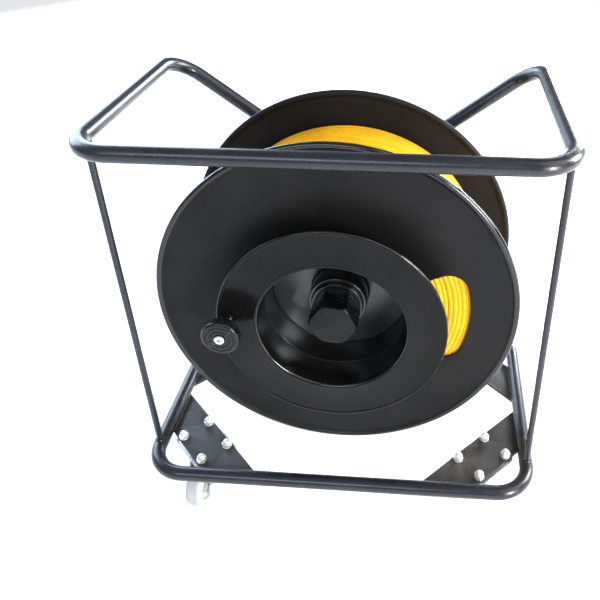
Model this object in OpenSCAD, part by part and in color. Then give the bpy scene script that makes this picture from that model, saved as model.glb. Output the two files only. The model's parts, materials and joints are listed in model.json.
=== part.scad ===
// Open-frame drum reel with a side compartment, a crank knob and four swivel casters.
// Frame: +X to the right, +Y to the back, +Z up. The origin is on the floor, at the
// centre of the tubular frame. The drum turns on a fixed axle that runs along Y.

/* [Tubular frame] */
// Distance between the centrelines of the left and right tubes
frame_w = 430; // [420:1:500]
// Distance between the centrelines of the front and back tubes
frame_d = 266; // [264:1:300]
// Height between the centrelines of the bottom ring and the top frame
frame_h = 400; // [398:1:440]
// Outside diameter of the frame tube
tube_d = 16; // [14:0.5:18]
// Wall thickness of the frame tube
tube_wall = 1.5; // [1:0.1:2.5]
// Centreline radius of the tube bends
bend_r = 38; // [30:1:40]
// Diameter of the two front uprights
upright_d = 7; // [6:0.5:10]
// How far the uprights stand behind the front tube
upright_setback = 40; // [40:1:60]

/* [Back support] */
// Width of the bearing plate
plate_w = 120; // [110:1:140]
// Height of the bearing plate
plate_h = 184; // [180:1:200]
// Thickness of the bearing plate
plate_t = 6; // [5:0.5:8]
// Diameter of the fixed axle
axle_d = 20; // [20:1:20]
// Diameter of the boss that holds the axle off the plate
boss_d = 34; // [28:1:40]

/* [Corner plates and bolts] */
// Distance of each caster's centre from the two tubes beside it
corner_inset = 50; // [48:1:55]
// Width of the diagonal corner plates
strip_w = 44; // [42:1:50]
// Thickness of the corner plates
strip_t = 4; // [3:0.5:5]
// Bolt spacing along the corner plate
bolt_along = 45; // [44:1:48]
// Bolt spacing across the corner plate
bolt_across = 33; // [33:1:36]
// Bolt thread diameter
bolt_d = 6; // [5:1:6]

/* [Casters] */
// Height from the floor to the top of the caster plate
caster_h = 66; // [66:1:72]
// Wheel diameter
wheel_d = 50; // [46:1:50]
// Wheel width
wheel_w = 20; // [16:1:20]
// Distance from the swivel axis to the wheel's axle
trail = 26; // [22:1:28]
// Direction of the wheel at the front left, in degrees from +X
turn_front_left = -97; // [-180:1:180]
// Direction of the wheel at the front right, in degrees from +X
turn_front_right = 74; // [-180:1:180]
// Direction of the wheel at the back left, in degrees from +X
turn_back_left = 100; // [-180:1:180]
// Direction of the wheel at the back right, in degrees from +X
turn_back_right = 82; // [-180:1:180]

/* [Drum] */
// Outside diameter of the two large flanges
flange_d = 380; // [360:1:382]
// Diameter of the rolled bead round each large flange
bead_d = 7; // [5:0.5:8]
// Thickness of the sheet that the drum is made of
sheet_t = 2; // [1.5:0.5:2.5]
// Distance between the two large flanges
drum_w = 136; // [120:1:140]
// Distance from the frame's front tube back to the front flange
drum_setback = 60; // [58:1:62]
// Inside diameter of the drum core, which is also the open recess
core_d = 150; // [140:1:156]
// Depth of the side compartment in front of the front flange
side_depth = 35; // [30:1:36]
// Diameter of the side compartment's flange
side_flange_d = 233; // [220:1:240]
// Diameter of the wound tape
winding_d = 302; // [200:1:320]

/* [Window in the front flange] */
// Inner radius of the curved window
window_r1 = 92; // [90:1:96]
// Outer radius of the curved window
window_r2 = 139.5; // [138:0.5:146]
// Half of the angle that the window spans
window_half = 26; // [22:1:30]
// Direction of the window's middle, in degrees above +X
window_turn = -3; // [-10:1:10]
// Radius of the window's corners
window_corner = 20; // [8:1:20]

/* [Hub] */
// Distance from the front flange back to the hub disc
hub_disc_back = 33; // [30:1:40]
// Outside diameter of the hub tube
hub_d = 54; // [50:1:58]
// Outside diameter of the collar round the hub tube
collar_d = 62; // [60:1:70]
// Outside diameter of the two ball bearings
bearing_d = 42; // [42:1:42]
// Width of the ball bearings
bearing_w = 12; // [12:1:12]
// Distance across the flats of the hexagonal hub cap
cap_flats = 44; // [44:1:46]
// How far the hub cap reaches in front of the front flange
cap_reach = 29; // [27:1:33]
// Direction of one corner of the hub cap, in degrees
cap_turn = -5; // [-30:1:30]

/* [Crank knob] */
// Diameter of the knob
knob_d = 38; // [34:1:40]
// Length of the knob
knob_len = 24; // [20:1:24]
// Distance of the knob from the drum's axis
knob_orbit = 104.5; // [100:0.5:105]
// Direction of the knob, in degrees above +X
knob_turn = 176; // [150:1:210]
// Diameter of the stud that the knob spins on
stud_d = 8; // [6:1:8]

/* [Hidden] */
$fn = 96;

tube_r = tube_d / 2;
ring_z = caster_h + tube_r;             // centreline of the bottom ring
top_z = ring_z + frame_h;               // centreline of the top frame
axle_z = ring_z + frame_h / 2;          // the drum's axis
half_w = frame_w / 2;
half_d = frame_d / 2;
flange_y = -half_d + drum_setback;      // plane of the front flange
plate_back = half_d + tube_r - flange_y;    // depth of the bearing plate's back face
plate_front = plate_back - plate_t;
diagonal_a = atan(3 / 4);               // the back diagonals fall 3 for every 4 across
tube_end_x = 45;                        // where the diagonals stop, beside the axle boss
diagonal_len = (half_w - tube_end_x) / cos(diagonal_a);
brace_x = half_w - bend_r;              // where a lower brace stands on the back tube
brace_top = 60;                         // its upper end below the axle
brace_a = atan((frame_h / 2 - brace_top) / (brace_x - tube_end_x));
brace_len = (brace_x - tube_end_x) / cos(brace_a);
drain_d = 4;                            // drain holes under the bottom ring

caster_x = half_w - corner_inset;
caster_y = half_d - corner_inset;
caster_plate_l = 62;
caster_plate_w = 50;
caster_plate_t = 2.5;
caster_plate_r = 6;
bolt_clear = 0.2;
bolt_head_h = 4;
bolt_head_flats = 10;
race_d = 34;                            // pressed race under the caster plate
race_bottom = caster_h - 8.7;
crown_top = race_bottom - 0.3;
crown_t = 3;
crown_d = 40;
crown_bottom = crown_top - crown_t;
kingpin_d = 10;
kingpin_head_d = 18;
kingpin_head_t = 2.5;
run_fit = 0.05;                         // radial clearance of every running fit
leg_t = 2;
leg_gap = wheel_w + 4;                  // between the inner faces of a fork's legs
pin_d = 8;
pin_head_d = 13;
pin_head_t = 3;
wheel_z = wheel_d / 2;
nut_flats = 10;
nut_h = 5;
dome_r = 4.6;

bead_r = bead_d / 2;
flange_r = flange_d / 2;
core_r = core_d / 2;
hub_front = 4;                          // depth of the hub tube's front end
hub_back = drum_w + 2;                  // depth of its back end
hub_bore = 36;
collar_front = 8;
cap_wall = 3;
cap_bore = bearing_d - 4;
axle_front = -13;                       // depth of the axle's front end
washer_t = 2.5;
washer_d = 30;
axle_nut_flats = 30;
axle_nut_h = 16;
side_bead_r = 1.8;
knob_gap = 0.4;
knob_front = -(side_depth + 31);        // depth of the knob's front face
knob_back = knob_front + knob_len;
stud_head_d = 10.4;
stud_head_t = 1.6;
stud_foot_d = 12;
stud_foot_t = 3;
winding_gap = 0.5;

// Places its children on the drum's axis: local Z is the depth behind the front flange.
module on_axis() {
    translate([0, flange_y, axle_z])
        rotate([-90, 0, 0])
            children();
}

// Turns its children on the drum, counter-clockwise as seen from the front.
module turned(angle) {
    rotate([0, 0, -angle])
        children();
}

// A bar or bore from depth z1 to depth z2.
module rod(r, z1, z2) {
    translate([0, 0, z1])
        cylinder(r = r, h = z2 - z1);
}

// A round tube from depth z1 to depth z2.
module ring(r_out, r_in, z1, z2) {
    difference() {
        rod(r_out, z1, z2);
        rod(r_in, z1 - 1, z2 + 1);
    }
}

// A hexagonal bar with the given distance across its flats.
module hexagon(flats, z1, z2) {
    translate([0, 0, z1])
        cylinder(d = flats / cos(30), h = z2 - z1, $fn = 6);
}

// A quarter bend of round bar, from local +X to local +Y.
module bend(r) {
    rotate_extrude(angle = 90)
        translate([bend_r, 0])
            circle(r = r);
}

// A straight bar along X, centred on x = 0.
module bar_x(r, length) {
    rotate([0, 90, 0])
        cylinder(r = r, h = length, center = true);
}

// A straight bar along Y, centred on y = 0.
module bar_y(r, length) {
    rotate([90, 0, 0])
        cylinder(r = r, h = length, center = true);
}

// The two front corners and the front and side rails of a frame level.
module front_and_sides(r) {
    translate([0, -half_d, 0])
        bar_x(r, frame_w - 2 * bend_r);
    for (side = [-1, 1])
        translate([side * half_w, 0, 0])
            bar_y(r, frame_d - 2 * bend_r);
    translate([half_w - bend_r, bend_r - half_d, 0])
        rotate([0, 0, -90])
            bend(r);
    translate([bend_r - half_w, bend_r - half_d, 0])
        rotate([0, 0, 180])
            bend(r);
}

// The bent route of the top frame, swept with radius r; over lengthens its open ends.
module top_route(r, over) {
    translate([0, 0, top_z])
        front_and_sides(r);
    for (side = [0, 1])
        mirror([side, 0, 0])
            translate([half_w, half_d, top_z])
                rotate([0, -diagonal_a, 0]) {
                    translate([-bend_r, -bend_r, 0])
                        bend(r);
                    translate([-bend_r, 0, 0])
                        rotate([0, -90, 0])
                            cylinder(r = r, h = diagonal_len - bend_r + over);
                }
}

// The closed route of the bottom ring, swept with radius r.
module ring_route(r) {
    translate([0, 0, ring_z]) {
        front_and_sides(r);
        translate([0, half_d, 0])
            bar_x(r, frame_w - 2 * bend_r);
        translate([half_w - bend_r, half_d - bend_r, 0])
            bend(r);
        translate([bend_r - half_w, half_d - bend_r, 0])
            rotate([0, 0, 90])
                bend(r);
    }
}

// The bearing plate's slab. The tube ends are notched with a deeper one to fit it.
module plate_slab(depth = plate_t) {
    translate([-plate_w / 2, half_d + tube_r - plate_t, axle_z - plate_h / 2])
        cube([plate_w, depth, plate_h]);
}

module top_frame_tube() {
    color("#17181b")
        difference() {
            top_route(tube_r, 0);
            top_route(tube_r - tube_wall, 1);
            plate_slab(2 * plate_t);
        }
}

module bottom_frame_ring() {
    color("#17181b")
        difference() {
            ring_route(tube_r);
            ring_route(tube_r - tube_wall);
            for (side = [-1, 1])
                translate([side * half_w / 2, half_d, ring_z - tube_d])
                    cylinder(d = drain_d, h = tube_d);
        }
}

module upright(side) {
    color("#17181b")
        difference() {
            translate([side * half_w, upright_setback - half_d, ring_z])
                cylinder(d = upright_d, h = frame_h);
            ring_route(tube_r);
            top_route(tube_r, 0);
        }
}

module lower_brace(side) {
    color("#17181b")
        difference() {
            translate([side * brace_x, half_d, ring_z])
                rotate([0, -side * (90 - brace_a), 0])
                    difference() {
                        cylinder(r = tube_r, h = brace_len);
                        cylinder(r = tube_r - tube_wall, h = brace_len + 1);
                    }
            ring_route(tube_r);
            plate_slab(2 * plate_t);
        }
}

module bearing_plate() {
    color("#1b1c1f")
        difference() {
            plate_slab();
            on_axis()
                rod(axle_d / 2, plate_front - 1, plate_back + 1);
        }
}

module axle_boss() {
    color("#1b1c1f")
        on_axis()
            ring(boss_d / 2, axle_d / 2, hub_back + 0.3, plate_front);
}

module axle() {
    color("#8f9296")
        on_axis()
            rod(axle_d / 2, axle_front, plate_back);
}

module axle_washer() {
    color("#b4b7bb")
        on_axis()
            ring(washer_d / 2, axle_d / 2, collar_front - 0.3 - washer_t, collar_front - 0.3);
}

module axle_nut() {
    nut_back = collar_front - 0.3 - washer_t;
    color("#b4b7bb")
        on_axis()
            difference() {
                hexagon(axle_nut_flats, nut_back - axle_nut_h, nut_back);
                rod(axle_d / 2, nut_back - axle_nut_h - 1, nut_back + 1);
            }
}

// Places its children at a corner: origin on the floor under the swivel axis,
// local X along the diagonal corner plate.
module at_corner(side, end) {
    translate([side * caster_x, end * caster_y, 0])
        rotate([0, 0, -45 * side * end])
            children();
}

// Repeats its children at the four bolts of a corner.
module four_bolts() {
    for (along = [-1, 1])
        for (across = [-1, 1])
            translate([along * bolt_along / 2, across * bolt_across / 2, 0])
                children();
}

// Repeats its children at all four corners.
module four_corners() {
    for (side = [-1, 1])
        for (end = [-1, 1])
            at_corner(side, end)
                children();
}

module corner_plate(side, end) {
    weld_in = 3;
    color("#1d1e20")
        difference() {
            intersection() {
                at_corner(side, end)
                    translate([-frame_d / 2, -strip_w / 2, caster_h])
                        cube([frame_d, strip_w, strip_t]);
                translate([weld_in - half_w, weld_in - half_d, caster_h])
                    cube([frame_w - 2 * weld_in, frame_d - 2 * weld_in, strip_t]);
            }
            ring_route(tube_r);
            at_corner(side, end)
                four_bolts()
                    rod(bolt_d / 2 + bolt_clear, caster_h - 1, caster_h + strip_t + 1);
        }
}

module corner_bolts() {
    head_top = caster_h - caster_plate_t;
    color("#c9ccd0")
        four_corners()
            four_bolts() {
                hexagon(bolt_head_flats, head_top - bolt_head_h, head_top);
                rod(bolt_d / 2, head_top, caster_h + strip_t + nut_h + 2);
            }
}

module cap_nuts() {
    seat = caster_h + strip_t;
    color("#dfe1e4")
        four_corners()
            four_bolts()
                difference() {
                    union() {
                        hexagon(nut_flats, seat, seat + nut_h);
                        intersection() {
                            translate([0, 0, seat + nut_h])
                                sphere(r = dome_r);
                            rod(dome_r, seat + nut_h, seat + nut_h + dome_r);
                        }
                    }
                    rod(bolt_d / 2, seat - 1, seat + nut_h + 2);
                }
}

// A rectangular plate with rounded corners, from z1 to z2.
module rounded_plate(length, width, corner, z1, z2) {
    for (along = [-1, 1])
        for (across = [-1, 1])
            translate([along * (length / 2 - corner), across * (width / 2 - corner), 0])
                rod(corner, z1, z2);
    translate([-length / 2, corner - width / 2, z1])
        cube([length, width - 2 * corner, z2 - z1]);
    translate([corner - length / 2, -width / 2, z1])
        cube([length - 2 * corner, width, z2 - z1]);
}

module caster_plate(side, end) {
    color("#b9bcc1")
        at_corner(side, end)
            difference() {
                union() {
                    rounded_plate(caster_plate_l, caster_plate_w, caster_plate_r,
                                  caster_h - caster_plate_t, caster_h);
                    rod(race_d / 2, race_bottom, caster_h - caster_plate_t);
                }
                four_bolts()
                    rod(bolt_d / 2 + bolt_clear, caster_h - caster_plate_t - 1, caster_h + 1);
                rod(kingpin_d / 2, race_bottom - 1, caster_h + 1);
            }
}

module caster_kingpins() {
    head_top = crown_bottom - 0.3;
    color("#a9acb1")
        four_corners() {
            rod(kingpin_d / 2, head_top, caster_h);
            rod(kingpin_head_d / 2, head_top - kingpin_head_t, head_top);
        }
}

// Places its children on a caster: local +X points from the swivel axis to the wheel.
module on_caster(side, end, turn) {
    translate([side * caster_x, end * caster_y, 0])
        rotate([0, 0, turn])
            children();
}

// The side outline of a fork leg, in the fork's X and Z.
module leg_outline() {
    foot_r = 9;
    difference() {
        union() {
            polygon([[-13, crown_top], [17, crown_top], [trail + foot_r, wheel_z],
                     [trail - foot_r, wheel_z]]);
            translate([trail, wheel_z])
                circle(r = foot_r);
        }
        translate([trail, wheel_z])
            circle(d = pin_d);
    }
}

module fork(side, end, turn) {
    color("#b9bcc1")
        on_caster(side, end, turn) {
            difference() {
                union() {
                    rod(crown_d / 2, crown_bottom, crown_top);
                    translate([-13, -leg_gap / 2 - leg_t, crown_bottom])
                        cube([30, leg_gap + 2 * leg_t, crown_t]);
                }
                rod(kingpin_d / 2 + run_fit, crown_bottom - 1, crown_top + 1);
            }
            for (across = [-1, 1])
                translate([0, across * (leg_gap + leg_t) / 2 + leg_t / 2, 0])
                    rotate([90, 0, 0])
                        linear_extrude(leg_t)
                            leg_outline();
        }
}

module wheel_pin(side, end, turn) {
    leg_out = leg_gap / 2 + leg_t;
    color("#c9ccd0")
        on_caster(side, end, turn)
            translate([trail, 0, wheel_z])
                rotate([90, 0, 0]) {
                    rod(pin_d / 2, -leg_out, leg_out);
                    for (across = [0, 1])
                        mirror([0, 0, across])
                            hexagon(pin_head_d, leg_out, leg_out + pin_head_t);
                }
}

// Half of the wheel's section: a tread with rounded shoulders, a web and a hub.
module wheel_section() {
    shoulder = 4;
    rim_in = wheel_d / 2 - 9;
    hub_r = 9;
    web_t = 8;
    bore_r = pin_d / 2 + run_fit;
    translate([rim_in, shoulder - wheel_w / 2])
        square([wheel_d / 2 - rim_in, wheel_w - 2 * shoulder]);
    translate([rim_in, -wheel_w / 2])
        square([wheel_d / 2 - rim_in - shoulder, wheel_w]);
    for (across = [-1, 1])
        translate([wheel_d / 2 - shoulder, across * (wheel_w / 2 - shoulder)])
            circle(r = shoulder);
    translate([bore_r, -web_t / 2])
        square([rim_in + 1 - bore_r, web_t]);
    translate([bore_r, -wheel_w / 2 - 1])
        square([hub_r - bore_r, wheel_w + 2]);
}

module wheel(side, end, turn) {
    color("#d9d8d2")
        on_caster(side, end, turn)
            translate([trail, 0, wheel_z])
                rotate([90, 0, 0])
                    rotate_extrude()
                        wheel_section();
}

// A large flange: a flat sheet with a rolled bead round its edge.
module flange_sheet(r_in) {
    rotate_extrude() {
        translate([r_in, -sheet_t / 2])
            square([flange_r - bead_r - r_in, sheet_t]);
        translate([flange_r - bead_r, 0])
            circle(r = bead_r);
    }
}

// A slice of a ring, spanning half degrees to each side of local +X.
module ring_slice(r1, r2, half) {
    rotate([0, 0, -half])
        rotate_extrude(angle = 2 * half)
            translate([r1, -bead_d])
                square([r2 - r1, 2 * bead_d]);
}

// The cutter for the curved window, with round corners.
module window_cutter() {
    inner_r = window_r1 + window_corner;
    outer_r = window_r2 - window_corner;
    inner_half = window_half - asin(window_corner / inner_r);
    outer_half = window_half - asin(window_corner / outer_r);
    ring_slice(inner_r, outer_r, window_half);
    ring_slice(window_r1, inner_r + 1, inner_half);
    ring_slice(inner_r, window_r2, outer_half);
    for (end = [-1, 1]) {
        turned(end * inner_half)
            translate([inner_r, 0, 0])
                rod(window_corner, -bead_d, bead_d);
        turned(end * outer_half)
            translate([outer_r, 0, 0])
                rod(window_corner, -bead_d, bead_d);
    }
}

module rear_flange() {
    color("#141416")
        on_axis()
            translate([0, 0, drum_w])
                flange_sheet(hub_d / 2);
}

module front_flange() {
    color("#141416")
        on_axis()
            difference() {
                flange_sheet(core_r);
                turned(window_turn)
                    window_cutter();
            }
}

module drum_core() {
    color("#141416")
        on_axis()
            ring(core_r + sheet_t, core_r, sheet_t / 2, drum_w - sheet_t / 2);
}

module side_core() {
    color("#141416")
        on_axis()
            ring(core_r + sheet_t, core_r, sheet_t / 2 - side_depth, -sheet_t / 2);
}

module side_flange() {
    side_r = side_flange_d / 2;
    lip_r = core_r + side_bead_r;
    color("#141416")
        on_axis()
            difference() {
                translate([0, 0, -side_depth])
                    rotate_extrude() {
                        translate([lip_r, -sheet_t / 2])
                            square([side_r - side_bead_r - lip_r, sheet_t]);
                        translate([side_r - side_bead_r, 0])
                            circle(r = side_bead_r);
                        intersection() {
                            translate([lip_r, 0])
                                circle(r = side_bead_r);
                            translate([core_r, -side_bead_r])
                                square([2 * side_bead_r, side_bead_r + sheet_t / 2]);
                        }
                    }
                turned(knob_turn)
                    translate([knob_orbit, 0, 0])
                        rod(stud_d / 2, -side_depth - sheet_t, -side_depth + sheet_t);
            }
}

module hub_disc() {
    color("#141416")
        on_axis()
            ring(core_r, hub_d / 2, hub_disc_back, hub_disc_back + sheet_t);
}

module hub_tube() {
    color("#141416")
        on_axis()
            difference() {
                rod(hub_d / 2, hub_front, hub_back);
                rod(hub_bore / 2, hub_front - 1, hub_back + 1);
                rod(bearing_d / 2, hub_front - 1, collar_front + bearing_w);
                rod(bearing_d / 2, hub_back - bearing_w, hub_back + 1);
            }
}

module hub_collar() {
    color("#141416")
        on_axis()
            ring(collar_d / 2, hub_d / 2, collar_front, hub_disc_back);
}

// A sealed ball bearing: two races and a recessed shield on each side.
module bearing(z1) {
    shield_in = 0.6;
    race_t = 3.5;
    color("#9ea1a6")
        on_axis()
            difference() {
                ring(bearing_d / 2, axle_d / 2 + run_fit, z1, z1 + bearing_w);
                for (face = [z1 - 1, z1 + bearing_w - shield_in])
                    ring(bearing_d / 2 - race_t, axle_d / 2 + race_t, face, face + 1 + shield_in);
            }
}

module front_bearing() {
    bearing(collar_front);
}

module rear_bearing() {
    bearing(hub_back - bearing_w);
}

module hub_cap() {
    corner_r = cap_flats / cos(30) / 2;
    bevel = 2.5;
    color("#101012")
        on_axis()
            difference() {
                union() {
                    turned(cap_turn)
                        intersection() {
                            hexagon(cap_flats, -cap_reach, hub_front);
                            union() {
                                translate([0, 0, -cap_reach])
                                    cylinder(r1 = corner_r - bevel, r2 = corner_r, h = bevel);
                                rod(corner_r, bevel - cap_reach, hub_front);
                            }
                        }
                    rod(bearing_d / 2, hub_front, collar_front);
                }
                rod(cap_bore / 2, cap_wall - cap_reach, collar_front + 1);
            }
}

// Places its children on the knob's axis.
module on_knob() {
    on_axis()
        turned(knob_turn)
            translate([knob_orbit, 0, 0])
                children();
}

module knob_stud() {
    foot_back = -side_depth - sheet_t / 2;
    color("#c9ccd0")
        on_knob() {
            rod(stud_d / 2, knob_front, -side_depth + sheet_t / 2 + 6);
            rod(stud_foot_d / 2, foot_back - stud_foot_t, foot_back);
            rod(stud_head_d / 2, knob_front - stud_head_t, knob_front);
        }
}

module knob_stud_nut() {
    seat = sheet_t / 2 - side_depth;
    color("#b4b7bb")
        on_knob()
            difference() {
                hexagon(13, seat, seat + 5);
                rod(stud_d / 2, seat - 1, seat + 6);
            }
}

// Half of the knob's section: a neck, a rounded grip and two grooves in the face.
module knob_section() {
    bore_r = stud_d / 2 + run_fit;
    knob_r = knob_d / 2;
    edge = 3;
    neck_r = 7.5;
    head_back = knob_front + 12;
    head_front = knob_front + knob_gap;
    difference() {
        union() {
            translate([bore_r, head_front])
                square([knob_r - edge - bore_r, head_back - head_front]);
            translate([bore_r, head_front + edge])
                square([knob_r - bore_r, head_back - head_front - 2 * edge]);
            for (z = [head_front + edge, head_back - edge])
                translate([knob_r - edge, z])
                    circle(r = edge);
            translate([bore_r, head_back - 1])
                square([neck_r - bore_r, knob_back - head_back + 1]);
        }
        for (r = [9.5, 14])
            translate([r, head_front])
                circle(r = 0.8);
    }
}

module crank_knob() {
    color("#1a1a1d")
        on_knob()
            rotate_extrude()
                knob_section();
}

module tape_winding() {
    color("#f2b705")
        on_axis()
            ring(winding_d / 2, core_r + sheet_t + winding_gap, sheet_t / 2 + winding_gap,
                 drum_w - sheet_t / 2 - winding_gap);
}

top_frame_tube();
bottom_frame_ring();
upright(-1);  // left_front_upright
upright(1);  // right_front_upright
lower_brace(-1);  // left_lower_brace
lower_brace(1);  // right_lower_brace
bearing_plate();
axle_boss();
axle();
axle_washer();
axle_nut();
corner_plate(-1, -1);  // front_left_corner_plate
corner_plate(1, -1);  // front_right_corner_plate
corner_plate(-1, 1);  // back_left_corner_plate
corner_plate(1, 1);  // back_right_corner_plate
corner_bolts();
cap_nuts();
caster_plate(-1, -1);  // front_left_caster_plate
caster_plate(1, -1);  // front_right_caster_plate
caster_plate(-1, 1);  // back_left_caster_plate
caster_plate(1, 1);  // back_right_caster_plate
caster_kingpins();
fork(-1, -1, turn_front_left);  // front_left_fork
fork(1, -1, turn_front_right);  // front_right_fork
fork(-1, 1, turn_back_left);  // back_left_fork
fork(1, 1, turn_back_right);  // back_right_fork
wheel_pin(-1, -1, turn_front_left);  // front_left_wheel_pin
wheel_pin(1, -1, turn_front_right);  // front_right_wheel_pin
wheel_pin(-1, 1, turn_back_left);  // back_left_wheel_pin
wheel_pin(1, 1, turn_back_right);  // back_right_wheel_pin
wheel(-1, -1, turn_front_left);  // front_left_wheel
wheel(1, -1, turn_front_right);  // front_right_wheel
wheel(-1, 1, turn_back_left);  // back_left_wheel
wheel(1, 1, turn_back_right);  // back_right_wheel
rear_flange();
front_flange();
drum_core();
side_core();
side_flange();
hub_disc();
hub_tube();
hub_collar();
front_bearing();
rear_bearing();
hub_cap();
knob_stud();
knob_stud_nut();
tape_winding();
crank_knob();
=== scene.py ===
"""The looks of a fish tape reel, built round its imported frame. Lengths are in metres."""

import json
import math

import bmesh
import bpy
import numpy as np
from mathutils import Matrix, Vector


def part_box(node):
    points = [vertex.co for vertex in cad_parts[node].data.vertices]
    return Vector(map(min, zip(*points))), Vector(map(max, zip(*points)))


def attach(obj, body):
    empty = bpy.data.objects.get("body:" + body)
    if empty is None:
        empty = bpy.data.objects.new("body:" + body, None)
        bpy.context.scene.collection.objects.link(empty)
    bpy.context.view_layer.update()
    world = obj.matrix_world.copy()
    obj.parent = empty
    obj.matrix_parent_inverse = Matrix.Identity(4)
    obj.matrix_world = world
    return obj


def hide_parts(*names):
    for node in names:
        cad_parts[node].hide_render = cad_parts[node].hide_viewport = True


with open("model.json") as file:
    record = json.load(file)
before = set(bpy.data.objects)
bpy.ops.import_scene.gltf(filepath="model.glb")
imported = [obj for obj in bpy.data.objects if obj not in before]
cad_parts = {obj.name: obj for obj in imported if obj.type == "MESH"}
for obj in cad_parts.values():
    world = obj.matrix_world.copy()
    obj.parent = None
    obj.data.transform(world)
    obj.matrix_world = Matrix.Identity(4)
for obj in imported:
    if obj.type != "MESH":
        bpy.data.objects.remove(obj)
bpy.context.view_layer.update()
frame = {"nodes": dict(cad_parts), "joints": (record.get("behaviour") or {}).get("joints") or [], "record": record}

MM = 0.001
CORNERS = {
    "front_left": (-1, -1),
    "front_right": (1, -1),
    "back_left": (-1, 1),
    "back_right": (1, 1),
}
random = np.random.default_rng(7)


# ---------------------------------------------------------------- sizes from the frame

def span(node):
    """The middle and the half size of a CAD node's box, to a tenth of a millimetre."""
    low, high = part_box(node)
    middle = Vector([round(v, 4) for v in (low + high) / 2])
    half = Vector([round(v, 4) for v in (high - low) / 2])
    return middle, half


ring_middle, ring_half = span("bottom_frame_ring")
TUBE_R = ring_half.z
RING_Z = ring_middle.z
HALF_W = ring_half.x - TUBE_R
HALF_D = ring_half.y - TUBE_R
TOP_Z = round(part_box("top_frame_tube")[1].z, 4) - TUBE_R
BEND_R = 38 * MM
UPRIGHT_R = span("left_front_upright")[1].x
UPRIGHT_Y = span("left_front_upright")[0].y

flange_middle, flange_half = span("front_flange")
AXLE_Z = flange_middle.z
FLANGE_Y = flange_middle.y
FLANGE_R = flange_half.x
BEAD_R = flange_half.y
DRUM_W = span("rear_flange")[0].y - FLANGE_Y
SHEET_T = 2 * span("hub_disc")[1].y
CORE_R = span("drum_core")[1].x - SHEET_T
SIDE_DEPTH = FLANGE_Y - span("side_flange")[0].y
SIDE_R = span("side_flange")[1].x
SIDE_BEAD_R = 1.8 * MM
HUB_DISC_DEPTH = span("hub_disc")[0].y - FLANGE_Y
HUB_R = span("hub_tube")[1].x
COLLAR_R = span("hub_collar")[1].x
WINDING_R = span("tape_winding")[1].x
KNOB_FRONT, KNOB_BACK = (v.y - FLANGE_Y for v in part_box("crank_knob"))

WINDOW_R1 = 92 * MM
WINDOW_R2 = 139.5 * MM
WINDOW_HALF = 26
WINDOW_TURN = -3
WINDOW_CORNER = 20 * MM
CAP_FLATS = 44 * MM
CAP_TURN = -5

PLATE_MIDDLE, PLATE_HALF = span("bearing_plate")
DIAGONAL_SLOPE = 3 / 4
DIAGONAL_END_X = 45 * MM
DIAGONAL_END_Z = TOP_Z - (HALF_W - DIAGONAL_END_X) * DIAGONAL_SLOPE
BRACE_X = HALF_W - BEND_R
BRACE_TOP_Z = AXLE_Z - 60 * MM

CORNER_INSET = 50 * MM
CASTER_X = HALF_W - CORNER_INSET
CASTER_Y = HALF_D - CORNER_INSET
BOLT_ALONG = 45 * MM
BOLT_ACROSS = 33 * MM
STRIP_W = 44 * MM
STRIP_LOW = round(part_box("front_left_corner_plate")[0].z, 4)
STRIP_HIGH = round(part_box("front_left_corner_plate")[1].z, 4)
CASTER_PLATE_T = 2.5 * MM
KINGPIN_R = 5 * MM
FORK_TOP = STRIP_LOW - 9 * MM
FORK_HALF_W = 14 * MM
PIN_R = 4 * MM
TRAIL = 26 * MM

BODIES = frame["record"]["behaviour"]["bodies"]
BODY_OF = {node: body for body, nodes in BODIES.items() for node in nodes}
JOINT = {joint["name"]: joint for joint in frame["joints"]}

# Local Z is the depth behind the front flange, and local X points to the right.
ON_AXIS = Matrix.Translation((0, FLANGE_Y, AXLE_Z)) @ Matrix.Rotation(math.radians(-90), 4, "X")


def turned(degrees):
    """A turn about local Z of the drum, counter-clockwise as seen from the front."""
    return Matrix.Rotation(math.radians(-degrees), 4, "Z")


def on_knob():
    """The crank knob's axis, from its joint."""
    x, y, z = JOINT["knob_spin"]["pos_m"]
    return Matrix.Translation((x, FLANGE_Y, z)) @ Matrix.Rotation(math.radians(-90), 4, "X")


def at_corner(corner):
    """A corner of the frame: local X runs along its diagonal plate."""
    side, end = CORNERS[corner]
    place = Matrix.Translation((side * CASTER_X, end * CASTER_Y, 0))
    return place @ Matrix.Rotation(math.radians(-45 * side * end), 4, "Z")


def on_caster(corner):
    """A caster: local X points from its swivel axis to its wheel."""
    side, end = CORNERS[corner]
    x, y, _ = JOINT[corner + "_wheel_roll"]["axis"]
    place = Matrix.Translation((side * CASTER_X, end * CASTER_Y, 0))
    return place @ Matrix.Rotation(math.atan2(-x, y), 4, "Z")


def on_wheel(corner):
    """A caster wheel's axle, along local Z."""
    axle = Matrix.Translation((TRAIL, 0, span(corner + "_wheel")[0].z))
    return on_caster(corner) @ axle @ Matrix.Rotation(math.radians(90), 4, "X")


def four_bolts():
    """The places of the four bolts of a corner."""
    return [
        Matrix.Translation((along * BOLT_ALONG / 2, across * BOLT_ACROSS / 2, 0))
        for along in (-1, 1)
        for across in (-1, 1)
    ]


# ---------------------------------------------------------------- mesh code
# A solid is a pair: an array of points, and a list of faces.

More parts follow.
